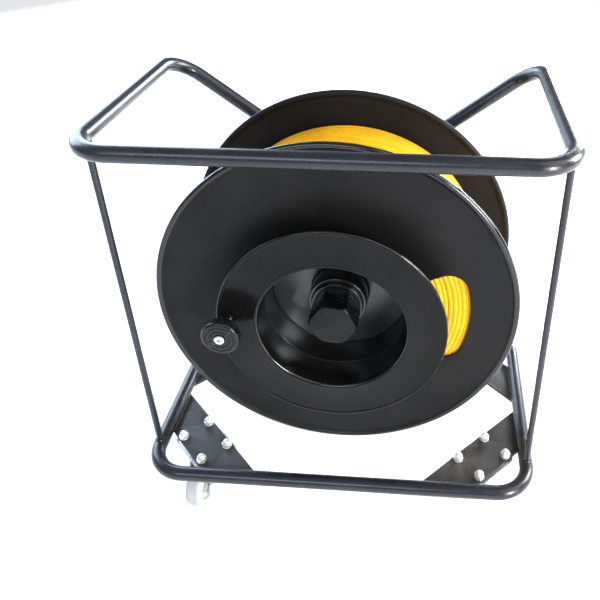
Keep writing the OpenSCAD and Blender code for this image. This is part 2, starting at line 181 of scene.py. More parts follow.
def rounded(corners, radius, closed=True, steps=4):
    """An outline or path with its corners turned into arcs. Radius is one or one for each corner."""
    corners = np.asarray(corners, float)
    count = len(corners)
    radii = np.broadcast_to(radius, count)
    points = []
    for i, corner in enumerate(corners):
        if not closed and i in (0, count - 1):
            points.append(corner)
            continue
        before = corners[i - 1] - corner
        after = corners[(i + 1) % count] - corner
        room = min(np.linalg.norm(before), np.linalg.norm(after))
        before = before / np.linalg.norm(before)
        after = after / np.linalg.norm(after)
        angle = math.acos(np.clip(before @ after, -1, 1))
        if radii[i] <= 0 or math.pi - angle < 1e-3:
            points.append(corner)
            continue
        reach = min(radii[i] / math.tan(angle / 2), 0.49 * room)
        r = reach * math.tan(angle / 2)
        middle = (before + after) / np.linalg.norm(before + after)
        centre = corner + middle * r / math.sin(angle / 2)
        first = corner + before * reach - centre
        last = corner + after * reach - centre
        turn = math.pi - angle
        for s in np.linspace(0, 1, steps + 1):
            part = math.sin((1 - s) * turn) * first + math.sin(s * turn) * last
            points.append(centre + part / math.sin(turn))
    return np.array(points)


def arc(x, y, r, start, stop, steps):
    """Points along an arc, from start to stop in degrees."""
    angles = np.radians(np.linspace(start, stop, steps + 1))
    return [(x + r * math.cos(a), y + r * math.sin(a)) for a in angles]


def grid(rows, closed=False, capped=False):
    """The solid that joins rows of points, each of which runs round a loop."""
    rows = np.asarray(rows, float)
    count, columns = rows.shape[:2]
    faces = []
    for i in range(count if closed else count - 1):
        a, b = i * columns, (i + 1) % count * columns
        for j in range(columns):
            k = (j + 1) % columns
            faces.append((a + j, a + k, b + k, b + j))
    if capped:
        faces.append(tuple(reversed(range(columns))))
        faces.append(tuple(range((count - 1) * columns, count * columns)))
    return rows.reshape(-1, 3), faces


def lathe(profile, count=128):
    """A solid of revolution about Z, from a closed outline of (radius, height)."""
    angles = 2 * math.pi * np.arange(count) / count
    rows = [
        np.stack([r * np.cos(angles), r * np.sin(angles), np.full(count, h)], 1)
        for r, h in profile
    ]
    return grid(rows, closed=True)


def ring(r_out, r_in, low, high, edge=0.4 * MM, count=128):
    """A round tube or washer with softened edges."""
    corners = [(r_in, low), (r_out, low), (r_out, high), (r_in, high)]
    return lathe(rounded(corners, edge), count)


def hexagon(flats, low, high, chamfer, slope=0.577, bore=0.0, ends=(True, True)):
    """A hexagonal solid with coned ends: chamfer is how far the cone starts inside a corner."""
    count = 96
    angles = 2 * math.pi * np.arange(count) / count
    sixth = math.pi / 3
    side = flats / 2 / np.cos(angles % sixth - sixth / 2)
    cone = flats / 2 / math.cos(sixth / 2) - chamfer
    flat = np.minimum(side, cone)
    drop = np.maximum(side - cone, 0) * slope

    def row(radius, height):
        radius = np.broadcast_to(radius, count)
        height = np.broadcast_to(height, count)
        return np.stack([radius * np.cos(angles), radius * np.sin(angles), height], 1)

    low_drop = drop * ends[0]
    high_drop = drop * ends[1]
    rows = [
        row(bore, low), row(flat if ends[0] else side, low), row(side, low + low_drop),
        row(side, high - high_drop), row(flat if ends[1] else side, high), row(bore, high),
    ]
    return grid(rows, closed=True)


def sweep(path, radius, closed=False, sides=24):
    """A round bar along a path. Radius is one number, or one for each point."""
    path = np.asarray(path, float)
    radii = np.broadcast_to(radius, len(path))
    ahead = np.roll(path, -1, 0) - path
    behind = path - np.roll(path, 1, 0)
    if not closed:
        ahead[-1] = behind[-1]
        behind[0] = ahead[0]
    ahead /= np.linalg.norm(ahead, axis=1)[:, None]
    behind /= np.linalg.norm(behind, axis=1)[:, None]
    tangents = ahead + behind
    tangents /= np.linalg.norm(tangents, axis=1)[:, None]
    first = np.cross(tangents[0], (0.3, 0.2, 1.0) if abs(tangents[0][2]) < 0.9 else (1, 0, 0))
    normals = [first / np.linalg.norm(first)]
    for tangent in tangents[1:]:
        carried = normals[-1] - tangent * (normals[-1] @ tangent)
        normals.append(carried / np.linalg.norm(carried))
    normals = np.array(normals)
    sidewards = np.cross(tangents, normals)
    twist = np.zeros(len(path))
    if closed:
        home = normals[-1] - tangents[0] * (normals[-1] @ tangents[0])
        gap = math.atan2(home @ sidewards[0], home @ normals[0])
        twist = -gap * np.arange(len(path)) / len(path)
    rows = []
    for centre, normal, sideward, r, more in zip(path, normals, sidewards, radii, twist):
        angles = 2 * math.pi * (np.arange(sides) + 0.5) / sides + more
        rows.append(centre + r * (np.outer(np.cos(angles), normal) + np.outer(np.sin(angles), sideward)))
    return grid(rows, closed=closed, capped=not closed)


def sheet(outline, low, high, holes=(), edge=0.5 * MM):
    """A flat sheet between two heights, with round edges, from closed outlines of (x, y)."""
    curve = bpy.data.curves.new("outline", "CURVE")
    curve.dimensions = "2D"
    curve.fill_mode = "BOTH"
    curve.extrude = (high - low) / 2 - edge
    curve.bevel_depth = edge
    curve.bevel_resolution = 2
    curve.offset = -edge
    for line in (outline, *holes):
        spline = curve.splines.new("POLY")
        spline.points.add(len(line) - 1)
        for point, (x, y) in zip(spline.points, line):
            point.co = (x, y, 0, 1)
        spline.use_cyclic_u = True
    holder = bpy.data.objects.new("outline", curve)
    bpy.context.scene.collection.objects.link(holder)
    graph = bpy.context.evaluated_depsgraph_get()
    mesh = holder.evaluated_get(graph).to_mesh()
    points = np.array([v.co for v in mesh.vertices]) + (0, 0, (low + high) / 2)
    faces = [tuple(p.vertices) for p in mesh.polygons]
    bpy.data.objects.remove(holder)
    bpy.data.curves.remove(curve)
    return points, faces


def placed(solid, matrix):
    """A solid moved by a matrix."""
    points, faces = solid
    turn = np.array(matrix.to_3x3())
    return points @ turn.T + np.array(matrix.translation), faces


def mirrored(solid):
    """A solid turned end for end along local Z."""
    return placed(solid, Matrix.Rotation(math.pi, 4, "X"))


def spread(length, step):
    """The number of even steps of about this size along a length."""
    return max(2, round(length / step))


def resampled(path, step, closed=False):
    """A path with its points evenly apart."""
    path = np.asarray(path, float)
    if closed:
        path = np.vstack([path, path[:1]])
    along = np.concatenate([[0], np.cumsum(np.linalg.norm(np.diff(path, axis=0), axis=1))])
    count = spread(along[-1], step)
    wanted = np.linspace(0, along[-1], count, endpoint=not closed)
    return np.stack([np.interp(wanted, along, path[:, k]) for k in range(3)], 1)


def weld(path, size=1.7 * MM, closed=False):
    """A weld bead along a path, with the ripples of its passes."""
    path = resampled(path, 0.7 * MM, closed)
    passes = np.sin(2 * math.pi * np.arange(len(path)) / 4)
    radii = size * (1 + 0.13 * passes + 0.05 * random.standard_normal(len(path)))
    if not closed:
        radii[0] *= 0.5
        radii[-1] *= 0.5
    return sweep(path, radii, closed, sides=10)


def tube_joint(start, along, r, big_along, big_r):
    """The line where a small tube that starts on a big tube's centreline comes out of it."""
    start, along, big_along = (np.asarray(v, float) for v in (start, along, big_along))
    along = along / np.linalg.norm(along)
    across = np.cross(along, big_along)
    across /= np.linalg.norm(across)
    other = np.cross(along, across)
    points = []
    for angle in np.linspace(0, 2 * math.pi, 48, endpoint=False):
        offset = r * (math.cos(angle) * across + math.sin(angle) * other)
        flat_offset = offset - big_along * (offset @ big_along)
        flat_along = along - big_along * (along @ big_along)
        a = flat_along @ flat_along
        b = flat_offset @ flat_along
        c = flat_offset @ flat_offset - big_r ** 2
        reach = (-b + math.sqrt(max(b * b - a * c, 0))) / a
        points.append(start + offset + reach * along)
    return points


def new_object(name, solids, smooth=35):
    """A mesh object of closed solids, smooth but for edges sharper than the angle."""
    work = bmesh.new()
    for points, faces in solids:
        verts = [work.verts.new(p) for p in points]
        for face in faces:
            work.faces.new([verts[i] for i in face])
    bmesh.ops.remove_doubles(work, verts=work.verts, dist=1e-6)
    bmesh.ops.recalc_face_normals(work, faces=work.faces)
    mesh = bpy.data.meshes.new(name)
    work.to_mesh(mesh)
    work.free()
    mesh.shade_smooth()
    mesh.set_sharp_from_angle(angle=math.radians(smooth))
    made = bpy.data.objects.new(name, mesh)
    bpy.context.scene.collection.objects.link(made)
    return made


def soften(made, width, angle=35):
    """Rounds the sharp edges of an object for good."""
    rounding = made.modifiers.new("rounding", "BEVEL")
    rounding.width = width
    rounding.segments = 3
    rounding.limit_method = "ANGLE"
    rounding.angle_limit = math.radians(angle)
    graph = bpy.context.evaluated_depsgraph_get()
    mesh = bpy.data.meshes.new_from_object(made.evaluated_get(graph))
    mesh.name = made.name
    made.modifiers.clear()
    made.data = mesh
    mesh.shade_smooth()
    mesh.set_sharp_from_angle(angle=math.radians(angle))


def piece(name, solids, material, *nodes, edge=0.0, smooth=35):
    """A visible piece that stands for CAD nodes: it takes its body from the first, and hides them all."""
    made = new_object(name, solids, smooth)
    if edge:
        soften(made, edge)
    made.data.materials.append(material)
    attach(made, BODY_OF[nodes[0]])
    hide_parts(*nodes)
    return made


def extra(name, solids, material, beside):
    """A visible piece with no CAD node of its own, on the body of the node that it lies beside."""
    made = new_object(name, solids)
    made.data.materials.append(material)
    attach(made, BODY_OF[beside])
    return made


# ---------------------------------------------------------------- materials

class Surface:
    """A procedural material: helpers that add nodes round one Principled shader."""

    def __init__(self, name, **constants):
        self.material = bpy.data.materials.new(name)
        self.material.use_nodes = True
        self.tree = self.material.node_tree
        self.shader = self.tree.nodes["Principled BSDF"]
        self.place = self.tree.nodes.new("ShaderNodeTexCoord").outputs["Object"]
        for socket, value in constants.items():
            self.shader.inputs[socket.replace("_", " ")].default_value = value

    def node(self, kind, **inputs):
        made = self.tree.nodes.new(kind)
        for name, value in inputs.items():
            socket = made.inputs[name.replace("_", " ")]
            if isinstance(value, bpy.types.NodeSocket):
                self.tree.links.new(value, socket)
            else:
                socket.default_value = value
        return made

    def stretched(self, x, y, z):
        """The object's place, scaled along each axis."""
        made = self.node("ShaderNodeMapping", Vector=self.place)
        made.inputs["Scale"].default_value = (x, y, z)
        return made.outputs["Vector"]

    def noise(self, size, detail=3.0, place=None, roughness=0.5):
        """Noise with features of about this size in metres."""
        made = self.node(
            "ShaderNodeTexNoise", Vector=place or self.place, Scale=1 / size,
            Detail=detail, Roughness=roughness,
        )
        return made.outputs["Fac"]

    def levels(self, value, low, high, to_low=0.0, to_high=1.0):
        """A value's range from low to high, mapped to another range and kept inside it."""
        made = self.node("ShaderNodeMapRange", Value=value)
        made.interpolation_type = "SMOOTHSTEP"
        made.inputs["From Min"].default_value = low
        made.inputs["From Max"].default_value = high
        made.inputs["To Min"].default_value = to_low
        made.inputs["To Max"].default_value = to_high
        return made.outputs["Result"]

    def mix(self, share, first, second):
        """Two colours mixed by a share."""
        made = self.tree.nodes.new("ShaderNodeMix")
        made.data_type = "RGBA"
        # A mix node's colours are its inputs 6 and 7, and the mixed colour is its output 2.
        for index, value in ((0, share), (6, first), (7, second)):
            if isinstance(value, bpy.types.NodeSocket):
                self.tree.links.new(value, made.inputs[index])
            else:
                made.inputs[index].default_value = (*value, 1)
        return made.outputs[2]

    def times(self, first, second):
        made = self.tree.nodes.new("ShaderNodeMath")
        made.operation = "MULTIPLY"
        for socket, value in zip(made.inputs, (first, second)):
            if isinstance(value, bpy.types.NodeSocket):
                self.tree.links.new(value, socket)
            else:
                socket.default_value = value
        return made.outputs[0]

    def colour(self, value):
        self.tree.links.new(value, self.shader.inputs["Base Color"])

    def roughness(self, value):
        self.tree.links.new(value, self.shader.inputs["Roughness"])

    def bumps(self, *layers):
        """Bump from several heights, each a (value, depth in metres) pair."""
        normal = None
        for value, depth in layers:
            made = self.node("ShaderNodeBump", Height=value, Distance=depth, Strength=1.0)
            if normal is not None:
                self.tree.links.new(normal, made.inputs["Normal"])
            normal = made.outputs["Normal"]
        self.tree.links.new(normal, self.shader.inputs["Normal"])


def painted(name, tone, rough, peel, wave, dust=0.0, **constants):
    """Black paint on metal: orange peel, slow waves in the sheet, smudges and a little dust."""
    made = Surface(name, **constants)
    broad = made.noise(60 * MM, 4)
    fine = made.noise(7 * MM, 5)
    clean = made.mix(made.levels(broad, 0.35, 0.65), tone, [1.7 * v for v in tone])
    dusty = made.times(made.levels(made.noise(18 * MM, 8, roughness=0.65), 0.56, 0.8), dust)
    made.colour(made.mix(dusty, clean, (0.20, 0.19, 0.175)))
    made.roughness(made.levels(fine, 0.3, 0.7, rough[0], rough[1]))
    made.bumps((made.noise(90 * MM, 2), wave), (made.noise(1.6 * MM, 2), peel))
    return made.material


def plated(name, dark, light, rough, streak=(1, 1, 1), metal=1.0, **constants):
    """Plated or ground metal: cloudy colour and a fine grain, which streak draws out one way."""
    made = Surface(name, Metallic=metal, **constants)
    cloud = made.noise(9 * MM, 5)
    lines = made.noise(1.2 * MM, 4, place=made.stretched(*streak))
    made.colour(made.mix(made.levels(cloud, 0.35, 0.65), dark, light))
    made.roughness(made.levels(lines, 0.3, 0.7, rough[0], rough[1]))
    made.bumps((lines, 0.012 * MM), (made.noise(3 * MM, 3), 0.02 * MM))
    return made.material


def moulded(name, dark, light, rough, grain, **constants):
    """Moulded plastic: slow colour drift, fine grain and rubbed patches."""
    made = Surface(name, **constants)
    made.colour(made.mix(made.levels(made.noise(14 * MM, 5), 0.35, 0.65), dark, light))
    made.roughness(made.levels(made.noise(5 * MM, 6, roughness=0.6), 0.35, 0.65, rough[0], rough[1]))
    made.bumps((made.noise(0.7 * MM, 3), grain), (made.noise(20 * MM, 2), 0.15 * MM))
    return made.material


def tape_sheath():
    """Yellow sheath: a yellow that drifts slowly, with streaks of deeper orange along the turns, which are painted
    shade between the turns.
    """
    made = Surface(
        "yellow_sheath", Specular_IOR_Level=0.15, Subsurface_Weight=0.15,
        Subsurface_Scale=2 * MM, Coat_Weight=0.25, Coat_Roughness=0.28,
    )
    made.shader.inputs["Subsurface Radius"].default_value = (1.0, 0.6, 0.05)
    drift = made.noise(38 * MM, 3)
    streaks_and_shade = made.noise(3.5 * MM, 5, place=made.stretched(0.12, 1, 0.12))
    bright = made.mix(made.levels(drift, 0.36, 0.64), (0.70, 0.345, 0.003), (0.82, 0.435, 0.004))
    # The deeper orange of the streaks is painted shade, for the shade between the turns; noise places it.
    made.colour(made.mix(made.levels(streaks_and_shade, 0.5, 0.72, 0, 0.45), bright, (0.62, 0.23, 0.003)))
    made.roughness(made.levels(streaks_and_shade, 0.3, 0.7, 0.36, 0.52))
    made.bumps((made.noise(1.1 * MM, 3), 0.03 * MM), (streaks_and_shade, 0.06 * MM))
    return made.material


# The dark tone is the powder coat's own, and its slight blue tint is a painted reflection of the bluish windows.
frame_paint = painted(
    "frame_powder_coat", (0.006, 0.007, 0.010), (0.26, 0.36), 0.007 * MM, 0.05 * MM, dust=0.04,
    Specular_IOR_Level=0.40, Coat_Weight=0.20, Coat_Roughness=0.12,
)
plate_paint = painted(
    "plate_powder_coat", (0.020, 0.020, 0.019), (0.38, 0.50), 0.035 * MM, 0.05 * MM, dust=0.35,
    Specular_IOR_Level=0.36,
)
drum_paint = painted(
    "flange_enamel", (0.0036, 0.0032, 0.0030), (0.53, 0.60), 0.004 * MM, 0.05 * MM,
    Specular_IOR_Level=0.20,
)
gloss_paint = painted(
    "core_enamel", (0.0030, 0.0028, 0.0028), (0.17, 0.23), 0.001 * MM, 0.03 * MM,
    Specular_IOR_Level=0.14,
)
rubbed_paint = painted(
    "rubbed_enamel", (0.0030, 0.0028, 0.0028), (0.13, 0.18), 0.001 * MM, 0.03 * MM,
    Specular_IOR_Level=0.55,
)
# Satin black for the hub disc. Its tone, lighter than the enamel round it, is a painted reflection of the pale
# floor.
disc_paint_and_reflection = painted(
    "hub_disc_satin_and_reflection", (0.017, 0.017, 0.017), (0.29, 0.33), 0.002 * MM, 0.03 * MM,
    Specular_IOR_Level=0.7,
)
black_plastic = moulded(
    "black_moulding", (0.003, 0.003, 0.004), (0.006, 0.006, 0.007), (0.20, 0.28), 0.003 * MM,
    Specular_IOR_Level=0.15,
)
knob_plastic = moulded(
    "knob_moulding", (0.004, 0.004, 0.005), (0.008, 0.008, 0.009), (0.20, 0.28), 0.003 * MM,
    Specular_IOR_Level=0.28,
)
bright_zinc = plated(
    "bright_zinc_plate", (0.78, 0.79, 0.80), (0.90, 0.90, 0.90), (0.34, 0.46), metal=0.7,
)
satin_zinc = plated("satin_zinc_plate", (0.46, 0.48, 0.51), (0.62, 0.63, 0.64), (0.22, 0.38))
ground_steel = plated(
    "ground_steel", (0.48, 0.49, 0.50), (0.62, 0.62, 0.63), (0.20, 0.34), streak=(1, 1, 6),
)
nylon = moulded(
    "pale_nylon", (0.36, 0.36, 0.35), (0.44, 0.43, 0.42), (0.34, 0.50), 0.02 * MM,
    Subsurface_Weight=0.08, Subsurface_Scale=2 * MM,
)
yellow_sheath = tape_sheath()


# ---------------------------------------------------------------- tubular frame

def top_route():
    """The open route of the top tube: up a back diagonal, round the front, and down again."""
    corners = [
        (-DIAGONAL_END_X, HALF_D, DIAGONAL_END_Z),
        (-HALF_W, HALF_D, TOP_Z),
        (-HALF_W, -HALF_D, TOP_Z),
        (HALF_W, -HALF_D, TOP_Z),
        (HALF_W, HALF_D, TOP_Z),
        (DIAGONAL_END_X, HALF_D, DIAGONAL_END_Z),
    ]
    return rounded(corners, BEND_R, closed=False, steps=20)


def ring_route():
    """The closed route of the bottom ring."""
    corners = [(x * HALF_W, y * HALF_D, RING_Z) for x, y in ((-1, -1), (1, -1), (1, 1), (-1, 1))]
    return rounded(corners, BEND_R, steps=20)


def brace_ends(side):
    """Where a lower brace leaves the back tube's centreline, and where it stops."""
    return (
        np.array((side * BRACE_X, HALF_D, RING_Z)),
        np.array((side * DIAGONAL_END_X, HALF_D, BRACE_TOP_Z)),
    )


def plate_edge_weld(z, slope):
    """The bead round the back of a tube where it meets the bearing plate's side edge."""
    x = PLATE_HALF.x + 0.3 * MM
    deep = 0.82 * TUBE_R
    tall = TUBE_R * math.hypot(1, slope)
    angles = np.radians(np.linspace(-10, 190, 30))
    return [(x, HALF_D + deep * math.sin(a), z + tall * math.cos(a)) for a in angles]


def build_tubes():
    """The bent tubes, uprights and braces."""
    piece("top_frame_bent_tube", [sweep(top_route(), TUBE_R, sides=48)], frame_paint, "top_frame_tube")
    piece("bottom_frame_bent_ring", [sweep(ring_route(), TUBE_R, closed=True, sides=48)],
          frame_paint, "bottom_frame_ring")
    for side, word in ((-1, "left"), (1, "right")):
        x = side * HALF_W
        line = [(x, UPRIGHT_Y, RING_Z + TUBE_R / 2), (x, UPRIGHT_Y, TOP_Z - TUBE_R / 2)]
        piece(word + "_front_rod", [sweep(line, UPRIGHT_R, sides=32)],
              frame_paint, word + "_front_upright")
        low, high = brace_ends(side)
        piece(word + "_lower_brace_tube", [sweep([low, high], TUBE_R - 0.05 * MM, sides=48)],
              frame_paint, word + "_lower_brace")


def build_frame_welds():
    """The weld beads that hold the tubes and plates together."""
    beads = []
    tube_bead = 1.9 * MM
    weld_off = TUBE_R - 1 * MM
    plate_front = PLATE_MIDDLE.y - PLATE_HALF.y
    plate_back = PLATE_MIDDLE.y + PLATE_HALF.y
    y_axis = (0, 1, 0)
    x_axis = (1, 0, 0)
    for side in (-1, 1):
        for z, way in ((RING_Z, 1), (TOP_Z, -1)):
            start = (side * HALF_W, UPRIGHT_Y, z)
            foot = tube_joint(start, (0, 0, way), UPRIGHT_R, y_axis, TUBE_R)
            beads.append(weld(foot, tube_bead, closed=True))
        low, high = brace_ends(side)
        foot = tube_joint(low, high - low, TUBE_R, x_axis, TUBE_R + 0.2 * MM)
        beads.append(weld(foot, tube_bead, closed=True))
        mirror = np.array((side, 1, 1))
        slope = (high[2] - low[2]) / (BRACE_X - DIAGONAL_END_X)
        brace_z = RING_Z + (BRACE_X - PLATE_HALF.x) * slope
        diagonal_z = TOP_Z - (HALF_W - PLATE_HALF.x) * DIAGONAL_SLOPE
        for z, fall in ((brace_z, slope), (diagonal_z, -DIAGONAL_SLOPE)):
            beads.append(weld(np.array(plate_edge_weld(z, fall)) * mirror))
        for outer_z, inner_z in ((brace_z, BRACE_TOP_Z), (diagonal_z, DIAGONAL_END_Z)):
            outer = np.array((PLATE_HALF.x, plate_front, outer_z))
            inner = np.array((DIAGONAL_END_X, plate_front, inner_z))
            along = (inner - outer) / np.linalg.norm(inner - outer)
            beside = np.cross(along, y_axis) * weld_off
            path = [outer + beside, inner + beside, inner - beside, outer - beside]
            beads.append(weld(rounded(path, 1.5 * MM, closed=False) * mirror))
    for corner, (_, end) in CORNERS.items():
        inset = CORNER_INSET - math.sqrt(TUBE_R ** 2 - (RING_Z - STRIP_HIGH) ** 2)
        for way in (-1, 1):
            path = [
                (way * (inset * math.sqrt(2) - t), end * t, STRIP_HIGH)
                for t in (STRIP_W / 2 - 1 * MM, 1 * MM - STRIP_W / 2)
            ]
            beads.append(placed(weld(path, 1.5 * MM), at_corner(corner)))
    boss_r = span("axle_boss")[1].x
    circle = [(x, y, plate_front - FLANGE_Y) for x, y in arc(0, 0, boss_r, 0, 354, 59)]
    beads.append(placed(weld(circle, 2 * MM, closed=True), ON_AXIS))
    for points, _ in beads:
        points[:, 1] = np.minimum(points[:, 1], plate_back)
    extra("frame_weld_beads", beads, frame_paint, "top_frame_tube")


def build_back_support():
    """The bearing plate, the boss and the axle."""
    w, h, t = PLATE_HALF.x, PLATE_HALF.z, PLATE_HALF.y
    outline = rounded([(-w, -h), (w, -h), (w, h), (-w, h)], 3 * MM)
    axle_r = 10 * MM
    hole = arc(0, 0, axle_r, 0, 355, 71)
    upright = Matrix.Translation((0, PLATE_MIDDLE.y, AXLE_Z)) @ Matrix.Rotation(math.radians(90), 4, "X")
    piece("bearing_plate_slab", [placed(sheet(outline, -t, t, [hole], 0.7 * MM), upright)],
          plate_paint, "bearing_plate")
    low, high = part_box("axle_boss")
    boss = ring(span("axle_boss")[1].x, axle_r, low.y - FLANGE_Y, high.y - FLANGE_Y, 1.2 * MM)
    piece("axle_boss_turned", [placed(boss, ON_AXIS)], plate_paint, "axle_boss")
    low, high = (v.y - FLANGE_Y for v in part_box("axle"))
    bar = rounded([(0, low), (axle_r, low), (axle_r, high), (0, high)], (0, 1.5 * MM, 1.2 * MM, 0))
    piece("axle_bar", [placed(lathe(bar), ON_AXIS)], ground_steel, "axle")
    low, high = (v.y - FLANGE_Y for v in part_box("axle_nut"))
    nut = hexagon(30 * MM, low, high, 1.8 * MM, bore=axle_r)
    piece("axle_lock_nut", [placed(nut, ON_AXIS)], satin_zinc, "axle_nut")
    low, high = (v.y - FLANGE_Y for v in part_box("axle_washer"))
    piece("axle_flat_washer", [placed(ring(15 * MM, axle_r, low, high), ON_AXIS)],
          satin_zinc, "axle_washer")


# ---------------------------------------------------------------- corners and casters

def cap_nut():
    """A hexagonal nut under a polished dome."""
    flats, dome_r = 10 * MM, 4.6 * MM
    foot = STRIP_HIGH
    neck = foot + 5 * MM
    body = hexagon(flats, foot, neck, 0.7 * MM)
    dome = [(0, neck - 1 * MM), (dome_r - 0.3 * MM, neck - 1 * MM)] + arc(0, neck, dome_r, 0, 90, 12)
    collar = ring(5.5 * MM, 3 * MM, foot, foot + 0.9 * MM, 0.3 * MM, 48)
    return [body, lathe(dome, 48), collar]


def bolt_head():
    """A hexagonal bolt head under the caster plate, with its washer face and shank."""
    top, shank_r, shank_end = STRIP_LOW - CASTER_PLATE_T, 3 * MM, STRIP_HIGH + 5 * MM
    head = hexagon(10 * MM, top - 4 * MM, top, 0.8 * MM, ends=(True, False))
    return [head, lathe([(0, top), (shank_r, top), (shank_r, shank_end), (0, shank_end)], 32)]


def bolt_holes():
    """The outlines of the four bolt holes of a corner."""
    return [arc(*bolt.translation.xy, 3.2 * MM, 0, 345, 23) for bolt in four_bolts()]


def build_corner_plates():
    """The diagonal plates with their bolts and cap nuts."""
    reach = (CORNER_INSET - 3 * MM) * math.sqrt(2)
    half = STRIP_W / 2
    nuts, bolts = [], []
    for corner, (_, end) in CORNERS.items():
        place = at_corner(corner)
        outline = [(half - reach, end * half), (-half - reach, -end * half),
                   (half + reach, -end * half), (reach - half, end * half)]
        slab = sheet(rounded(outline, 0.8 * MM), STRIP_LOW, STRIP_HIGH, bolt_holes())
        piece(corner + "_diagonal_plate", [placed(slab, place)], plate_paint, corner + "_corner_plate")
        for bolt in four_bolts():
            turn = Matrix.Rotation(random.uniform(0, math.pi / 3), 4, "Z")
            nuts += [placed(part, place @ bolt @ turn) for part in cap_nut()]
            bolts += [placed(part, place @ bolt @ turn) for part in bolt_head()]
    piece("domed_cap_nuts", nuts, bright_zinc, "cap_nuts")
    piece("hex_corner_bolts", bolts, bright_zinc, "corner_bolts")


def caster_plate_solids():
    """The pressed mounting plate and the race cup under it."""
    along, across = 31 * MM, 25 * MM
    corners = [(-along, -across), (along, -across), (along, across), (-along, across)]
    outline = rounded(corners, 6 * MM, steps=8)
    holes = [*bolt_holes(), arc(0, 0, KINGPIN_R + 0.1 * MM, 0, 350, 35)]
    low, high = FORK_TOP + 0.3 * MM, STRIP_LOW - CASTER_PLATE_T
    plate = sheet(outline, high, STRIP_LOW, holes)
    cup_r, cup_bore = 17 * MM, KINGPIN_R + 0.2 * MM
    cup = [(cup_bore, low), (cup_r - 1.6 * MM, low), (cup_r, low + 2 * MM), (cup_r, high - 1.2 * MM),
           (cup_r + 0.8 * MM, high), (cup_bore, high)]
    return [plate, lathe(rounded(cup, (0, 0.8 * MM, 1.2 * MM, 0.8 * MM, 0, 0)), 64)]


def fork_solid():
    """The fork's sheet: two legs and the bridge between them, as one bent strip."""
    thick, bend = 2 * MM, 3.6 * MM
    inner_bend = bend - thick
    foot_r, wheel_z = 9 * MM, 25 * MM
    crown_back, crown_front = -13 * MM, 17 * MM
    stations = []
    for angle in np.radians(np.linspace(12, 90, 9)):
        x = foot_r * math.sin(angle)
        z = wheel_z - foot_r * math.cos(angle)
        stations.append((FORK_HALF_W, FORK_HALF_W - thick, z, z, TRAIL - x, TRAIL + x))

    def leg_edges(z):
        share = (z - wheel_z) / (FORK_TOP - wheel_z)
        back = (TRAIL - foot_r) * (1 - share) + crown_back * share
        front = (TRAIL + foot_r) * (1 - share) + crown_front * share
        return back, front

    for z in np.linspace(wheel_z, FORK_TOP - bend, 7)[1:]:
        stations.append((FORK_HALF_W, FORK_HALF_W - thick, z, z, *leg_edges(z)))
    y, z = FORK_HALF_W - bend, FORK_TOP - bend
    for angle in np.radians(np.linspace(0, 90, 6)[1:]):
        stations.append((
            y + bend * math.cos(angle), y + inner_bend * math.cos(angle),
            z + bend * math.sin(angle), z + inner_bend * math.sin(angle),
            *leg_edges(z + bend * math.sin(angle)),
        ))
    rows = [
        [(x0, yo, zo), (x1, yo, zo), (x1, yi, zi), (x0, yi, zi)]
        for yo, yi, zo, zi, x0, x1 in stations
    ]
    rows += [[(x, -y, z) for x, y, z in row] for row in reversed(rows)]
    return grid(rows, capped=True)


def wheel_solid():
    """A moulded wheel with a soft tread, recessed webs and a raised hub."""
    bore, hub_r, rim_in, tread_r = 4.05 * MM, 9 * MM, 16 * MM, 25 * MM
    side, web, hub_side = 10 * MM, 4.2 * MM, 11 * MM
    half = [(bore, hub_side), (hub_r - 0.6 * MM, hub_side), (hub_r, web), (rim_in - 0.5 * MM, web),
            (rim_in, side - 0.6 * MM), (tread_r - 3.6 * MM, side), (tread_r, side - 4.4 * MM)]
    radii = [0.3 * MM, 0.8 * MM, 1.4 * MM, 1.6 * MM, 0.8 * MM, 2.5 * MM, 3.5 * MM]
    profile = half + [(r, -z) for r, z in reversed(half)]
    return lathe(rounded(profile, radii + radii[::-1], steps=5), 96)


def wheel_bolt():
    """A wheel's pin, with a hexagonal head or nut outside each leg of the fork."""
    head = hexagon(13 * MM, FORK_HALF_W, FORK_HALF_W + 3 * MM, 1 * MM)
    shank = ring(PIN_R, 1 * MM, 0, FORK_HALF_W + 0.2 * MM, 0)
    return [head, mirrored(head), shank, mirrored(shank)]


def kingpin():
    """The rivet that a fork swivels on."""
    top = FORK_TOP - 3.3 * MM
    foot = top - 2.5 * MM
    head_r = 9 * MM
    corners = [(0, foot), (6 * MM, foot), (head_r, top - 1 * MM), (head_r, top),
               (KINGPIN_R, top), (KINGPIN_R, STRIP_LOW), (0, STRIP_LOW)]
    return lathe(rounded(corners, (0, 3 * MM, 0.8 * MM, 0.3 * MM, 0, 0, 0)), 48)


def build_casters():
    """Four swivel casters: plate, rivet, fork, wheel and its bolt."""
    crown = ring(20 * MM, KINGPIN_R + 0.1 * MM, FORK_TOP - 3 * MM, FORK_TOP - 0.02 * MM, 1.2 * MM)
    for corner in CORNERS:
        swivel, roll = on_caster(corner), on_wheel(corner)
        piece(corner + "_mounting_plate", [placed(s, at_corner(corner)) for s in caster_plate_solids()],
              satin_zinc, corner + "_caster_plate")
        piece(corner + "_pressed_fork", [placed(fork_solid(), swivel), placed(crown, swivel)],
              satin_zinc, corner + "_fork", edge=0.35 * MM)
        piece(corner + "_moulded_wheel", [placed(wheel_solid(), roll)], nylon, corner + "_wheel")
        piece(corner + "_wheel_bolt", [placed(s, roll) for s in wheel_bolt()],
              bright_zinc, corner + "_wheel_pin")
    piece("caster_rivets", [placed(kingpin(), on_caster(corner)) for corner in CORNERS],
          satin_zinc, "caster_kingpins")


# ---------------------------------------------------------------- drum

